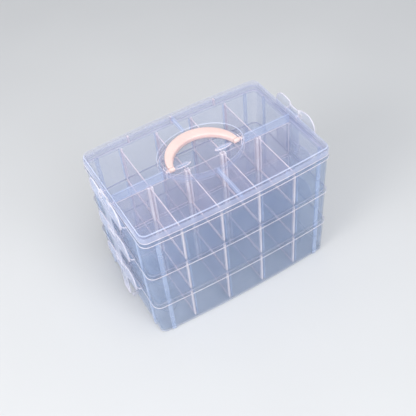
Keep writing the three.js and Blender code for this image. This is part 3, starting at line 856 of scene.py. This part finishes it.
def handle_ring(share, sides=28, power=0.5):
    """The grip's section, a rounded oblong, at a share of the way round its arc."""

    def on_arc(radius, offset):
        start = math.asin(offset / radius)
        a = start + (math.pi - 2 * start) * share
        return Vector((radius * math.cos(a), radius * math.sin(a) - offset, 0))

    rise = GRIP_RADIUS - GRIP_DROP - GRIP_MIDDLE
    inner_radius = (HANDLE_EYE_X**2 + rise**2) / (2 * rise)
    outer = on_arc(GRIP_RADIUS, GRIP_DROP)
    inner = on_arc(inner_radius, inner_radius - rise)
    middle, reach = (outer + inner) / 2, (outer - inner) / 2
    ring = []
    for i in range(sides):
        turn = 2 * math.pi * (i + 0.5) / sides
        c, s = math.cos(turn), math.sin(turn)
        c, s = math.copysign(abs(c) ** power, c), math.copysign(abs(s) ** power, s)
        ring.append(tuple(middle + reach * c + Vector((0, 0, GRIP_THICK / 2 * s))))
    return ring[::-1]


def handle_mesh(steps=56):
    shape = Shape(PEACH)
    shape.loft([handle_ring(i / steps) for i in range(steps + 1)])
    for side in (-1, 1):
        eye = side * HANDLE_EYE_X
        shape.rod(HANDLE_EYE, (eye, 0, 0), (side * GRIP_RADIUS, 0, 0), sides=36, bevel=0.5)
        root = side * (HANDLE_EYE_X + HANDLE_PIN_ROOT)
        tip = side * (GRIP_RADIUS + HANDLE_PIN_REACH)
        shape.rod(HANDLE_PIN, (root, 0, 0), (tip, 0, 0), sides=20)
    return shape.mesh("handle")


# Latches, made for the right end, with the hinge line along y at the origin


def from_rim(height):
    """A height above the rim as a height above the latch's hinge line."""
    return height - PIVOT_UP


def head_heights(y):
    """The head's lower and upper edge at y: two lobes, a waist between, and round shoulders."""
    lobe_y = LOBES / 2
    lobe, waist, shoulder = from_rim(LOBE_UP), from_rim(WAIST_UP), from_rim(SHOULDER_UP)
    offset = abs(y)
    past = max(0, offset - (HEAD / 2 - HEAD_CORNER))
    low = from_rim(-HEAD_DOWN) + HEAD_CORNER - math.sqrt(max(0, HEAD_CORNER**2 - past**2))
    if offset <= lobe_y:
        return low, waist + (lobe - waist) * math.sin(math.pi / 2 * offset / lobe_y) ** 2
    run = (offset - lobe_y) / (HEAD / 2 - lobe_y)
    return low, shoulder + (lobe - shoulder) * math.sqrt(max(0, 1 - run**2))


def plate_offset(y, z):
    """How far out the plate's middle is. The strip at its centre is tucked in over the barrel."""

    def clamp(value):
        return min(1, max(0, value))

    rise = clamp((z - from_rim(TUCK_START)) / (TUCK_END - TUCK_START))
    rise = rise * rise * (3 - 2 * rise)
    across = clamp((abs(y) - STRIP / 2) / WEB)
    return PLATE_X - TUCK * rise * (1 - across)


def head_places(lobe_steps=12, waist_steps=8):
    """The places along y at which the head's outline is worked out, from end to end."""
    lobe_y = LOBES / 2
    strip, web = STRIP / 2, STRIP / 2 + WEB
    lobe = [x for x, _ in arc(lobe_y, 0, HEAD / 2 - lobe_y, 0, math.pi / 2, lobe_steps)]
    waist = [lobe_y + (web - lobe_y) * i / waist_steps for i in range(1, waist_steps)]
    half = [*lobe, *waist, web, web - WEB / 3, strip + WEB / 3, strip, strip * 0.66, strip * 0.33]
    return [-y for y in half] + [0] + half[::-1]


def latch_mesh():
    shape = Shape(LATCH_FACE, LATCH_EDGE)
    latch_head(shape)
    latch_bead(shape)
    latch_arm(shape)
    latch_grip(shape)
    half = BARREL_WIDTH / 2
    shape.rod(BARREL, (0, -half, 0), (0, half, 0), sides=28, bevel=0.4)
    pin = half + EAR_GAP + EAR + EAR_GAP
    shape.rod(PIN, (0, -pin, 0), (0, pin, 0), sides=20, bevel=0.25)
    hook_xs = (HALF_X + LEDGE_REACH + GAP - PIVOT_X, PLATE_X)
    hook_top = from_rim(-LEDGE_DROP - RIM - HOOK_DROP)
    shape.box(hook_xs, (-HOOK_WIDTH / 2, HOOK_WIDTH / 2), (hook_top - HOOK, hook_top), bevel=0.12)
    return shape.mesh("latch")


def latch_head(shape, rows=14, facing=0.6):
    """The bow-topped plate, with a window on each side of its strip."""
    rings = []
    for y in head_places():
        low, high = head_heights(y)
        heights = [low + (high - low) * i / rows for i in range(rows + 1)]
        inner = [(plate_offset(y, z) - LATCH / 2, y, z) for z in heights]
        outer = [(plate_offset(y, z) + LATCH / 2, y, z) for z in reversed(heights)]
        rings.append(inner + outer)
    shape.loft(rings, caps=LATCH_EDGE)
    windows = Shape(LATCH_FACE)
    for side in (-1, 1):
        y = side * WINDOW_SPACING / 2
        ys = (y - WINDOW_WIDTH / 2, y + WINDOW_WIDTH / 2)
        windows.box(WINDOW_CUT, ys, (-WINDOW_HEIGHT / 2, WINDOW_HEIGHT / 2), bevel=0.5)
    shape.drill(windows)
    for face in shape.bm.faces:
        look = LATCH_FACE if abs(face.normal.x) > facing else LATCH_EDGE
        face.material_index = shape.place(look)


def latch_bead(shape, sides=10):
    """A rounded bead up the head's sides and along its top, which catches the light."""
    inset = HEAD_BEAD - HEAD_BEAD_OUT
    edge = HEAD / 2 - inset
    low = from_rim(-HEAD_DOWN) + HEAD_CORNER + HEAD_BEAD_START
    path = [Vector((PLATE_X, -edge, low))]
    for y in head_places():
        z = head_heights(y)[1] - inset
        path.append(Vector((plate_offset(y, z), y * (edge / (HEAD / 2)), z)))
    path.append(Vector((PLATE_X, edge, low)))
    across = Vector((1, 0, 0))
    rings = []
    for i, p in enumerate(path):
        ahead = path[min(i + 1, len(path) - 1)] - path[max(i - 1, 0)]
        side = ahead.normalized().cross(across).normalized()
        ring = [
            tuple(p + across * HEAD_BEAD * math.cos(a) + side * HEAD_BEAD * math.sin(a))
            for a in (2 * math.pi * k / sides for k in range(sides))
        ]
        rings.append(ring[::-1])
    shape.loft(rings, [LATCH_EDGE] * (len(rings) - 1), caps=LATCH_EDGE)


def latch_arm(shape, steps=8):
    """The arm below the head, which widens into it in two curves."""
    top, flare = from_rim(-HEAD_DOWN / 2), from_rim(-HEAD_DOWN)
    bottom = from_rim(-GRIP_TOP - GRIP_OVERLAP)
    half = ARM / 2
    start, knee, end = (half + FLARE, flare), (half, flare), (half, flare - FLARE)
    curve = [
        tuple(bend(*values, i / steps) for values in zip(start, knee, end))
        for i in range(steps + 1)
    ]
    right = [(half + FLARE, top), *curve, (half, bottom)]
    left = [(-y, z) for y, z in reversed(right)]
    points = [(PLATE_X - LATCH / 2, y, z) for y, z in right + left]
    shape.prism(points, (LATCH, 0, 0), bevel=0.35)


def latch_grip(shape):
    """The grip at the arm's end, a little further out, with ribs across it for the thumb."""
    half = ARM / 2
    inner = PLATE_X - LATCH / 2 + GRIP_STAND_OFF
    outer = inner + GRIP_PLATE
    bottom, top = from_rim(-GRIP_BOTTOM), from_rim(-GRIP_TOP)
    shape.box((inner, outer), (-half, half), (bottom, top), bevel=0.6)
    xs = (outer - GRIP_RIB_REACH, outer + GRIP_RIB_REACH)
    ys = (-half + GRIP_RIB, half - GRIP_RIB)
    for i in range(GRIP_RIBS):
        low = bottom + GRIP_RIB + i * GRIP_RIB_PITCH
        shape.box(xs, ys, (low, low + GRIP_RIB), bevel=0.4, face=LATCH_EDGE, edge=LATCH_EDGE)


# Pieces in their places


def put(name, mesh, node, body, offset=(0, 0, 0), turn=0.0):
    """Shows a mesh in place of a CAD node, riding on that node's body."""
    obj = bpy.data.objects.new(name, mesh)
    bpy.context.scene.collection.objects.link(obj)
    obj.matrix_world = Matrix.Translation(Vector(offset) * MM) @ Matrix.Rotation(turn, 4, "Z")
    normals = obj.modifiers.new("corner_normals", "WEIGHTED_NORMAL")
    normals.keep_sharp = True
    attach(obj, body)
    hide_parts(node)


def build():
    tray = tray_mesh()
    latch = latch_mesh()
    plates = [divider_mesh(x) for x in DIVIDER_X]
    for storey, (level, body, carrier) in enumerate(STOREYS):
        base = storey * PITCH
        put(f"{level}_tray", tray, f"tray_{level}", body, (0, 0, base))
        for row, turn in (("back", 0), ("front", math.pi)):
            for number, (x, plate) in enumerate(zip(DIVIDER_X, plates), start=1):
                name = f"{level}_{row}_divider_{number}"
                node = f"divider_{level}_{row}_{number}"
                put(name, plate, node, body, (x, 0, base), turn)
        pivot_z = base + RIM_TOP + PIVOT_UP
        for side, sign, turn in (("right", 1, 0), ("left", -1, math.pi)):
            node = f"latch_{carrier}_{side}"
            place = (sign * PIVOT_X, 0, pivot_z)
            put(f"{carrier}_{side}_latch", latch, node, node, place, turn)
    put("clear_lid", lid_mesh(), "lid", "lid")
    put("peach_handle", handle_mesh(), "carry_handle", "handle", (0, 0, HANDLE_Z))


# Floor, light and camera, in metres


def floor(half=6, drop=0.0004):
    """A wide pale floor, a hair below the box so that the two don't touch."""
    nodes = Nodes("pale_floor")
    cloud = nodes.ramp(nodes.noise(scale=3, detail=2), 0, 1)
    shade = nodes.mix(cloud, (0.61, 0.62, 0.63), (0.63, 0.64, 0.65))
    nodes.link(shade, nodes.shader.inputs["Base Color"])
    nodes.shader.inputs["Roughness"].default_value = 0.9
    mesh = bpy.data.meshes.new("floor")
    corners = [(-half, -half), (half, -half), (half, half), (-half, half)]
    mesh.from_pydata([(x, y, -drop) for x, y in corners], [], [(0, 1, 2, 3)])
    mesh.materials.append(nodes.material)
    obj = bpy.data.objects.new("floor", mesh)
    bpy.context.scene.collection.objects.link(obj)


def world(colour=(0.80, 0.82, 0.86), lit=0.55, seen=0.85):
    """A pale surround, dimmer as a light than where it is seen or mirrored."""
    made = bpy.data.worlds.new("studio")
    bpy.context.scene.world = made
    made.use_nodes = True
    tree = made.node_tree
    back = tree.nodes["Background"]
    back.inputs["Color"].default_value = (*colour, 1)
    path = tree.nodes.new("ShaderNodeLightPath")
    level = tree.nodes.new("ShaderNodeMapRange")
    level.inputs["To Min"].default_value = lit
    level.inputs["To Max"].default_value = seen
    shows = path.outputs["Is Camera Ray"]
    for ray in ("Is Glossy Ray", "Is Transmission Ray"):
        either = tree.nodes.new("ShaderNodeMath")
        either.operation = "MAXIMUM"
        tree.links.new(shows, either.inputs[0])
        tree.links.new(path.outputs[ray], either.inputs[1])
        shows = either.outputs[0]
    tree.links.new(shows, level.inputs["Value"])
    tree.links.new(level.outputs["Result"], back.inputs["Strength"])


def lamp(name, place, size, power, colour=(1, 1, 1), aim=(0, 0, 0.08)):
    data = bpy.data.lights.new(name, "AREA")
    data.shape = "DISK"
    data.size = size
    data.energy = power
    data.color = colour
    obj = bpy.data.objects.new(name, data)
    bpy.context.scene.collection.objects.link(obj)
    obj.location = place
    obj.rotation_euler = (Vector(aim) - Vector(place)).to_track_quat("-Z", "Y").to_euler()


def camera():
    """The photo's view: where the camera stands was solved from points on the box."""
    azimuth, elevation, roll = (math.radians(v) for v in (-26.038, 47.023, -6.446))
    target, distance = Vector((0, 0, 0.0846)), 0.8388
    flat = math.cos(elevation)
    away = Vector((math.sin(azimuth) * flat, -math.cos(azimuth) * flat, math.sin(elevation)))
    right = (-away).cross(Vector((0, 0, 1))).normalized()
    up = right.cross(-away)
    turned = right * math.cos(roll) + up * math.sin(roll)
    above = up * math.cos(roll) - right * math.sin(roll)
    data = bpy.data.cameras.new("camera")
    data.lens, data.sensor_width = 58.55, 36
    data.shift_x, data.shift_y = -0.0056, -0.0020
    data.clip_start, data.clip_end = 0.01, 50
    obj = bpy.data.objects.new("camera", data)
    bpy.context.scene.collection.objects.link(obj)
    axes = Matrix((turned, above, away)).transposed().to_4x4()
    obj.matrix_world = Matrix.Translation(target + away * distance) @ axes
    bpy.context.scene.camera = obj


build()
floor()
world()
lamp("key", (-1.4, -0.35, 0.9), size=0.9, power=17, colour=(1, 0.98, 0.96))
lamp("fill", (0.1, -1.2, 1.2), size=1.0, power=11, colour=(0.97, 0.98, 1))
lamp("top", (0.1, -0.5, 1.6), size=1.0, power=8)
lamp("back", (0.3, 1.3, 1.2), size=1.0, power=2)
camera()
bpy.context.scene.view_settings.view_transform = "Standard"

# A line of sight can pass through dozens of clear faces.
bpy.context.scene.cycles.transparent_max_bounces = 64
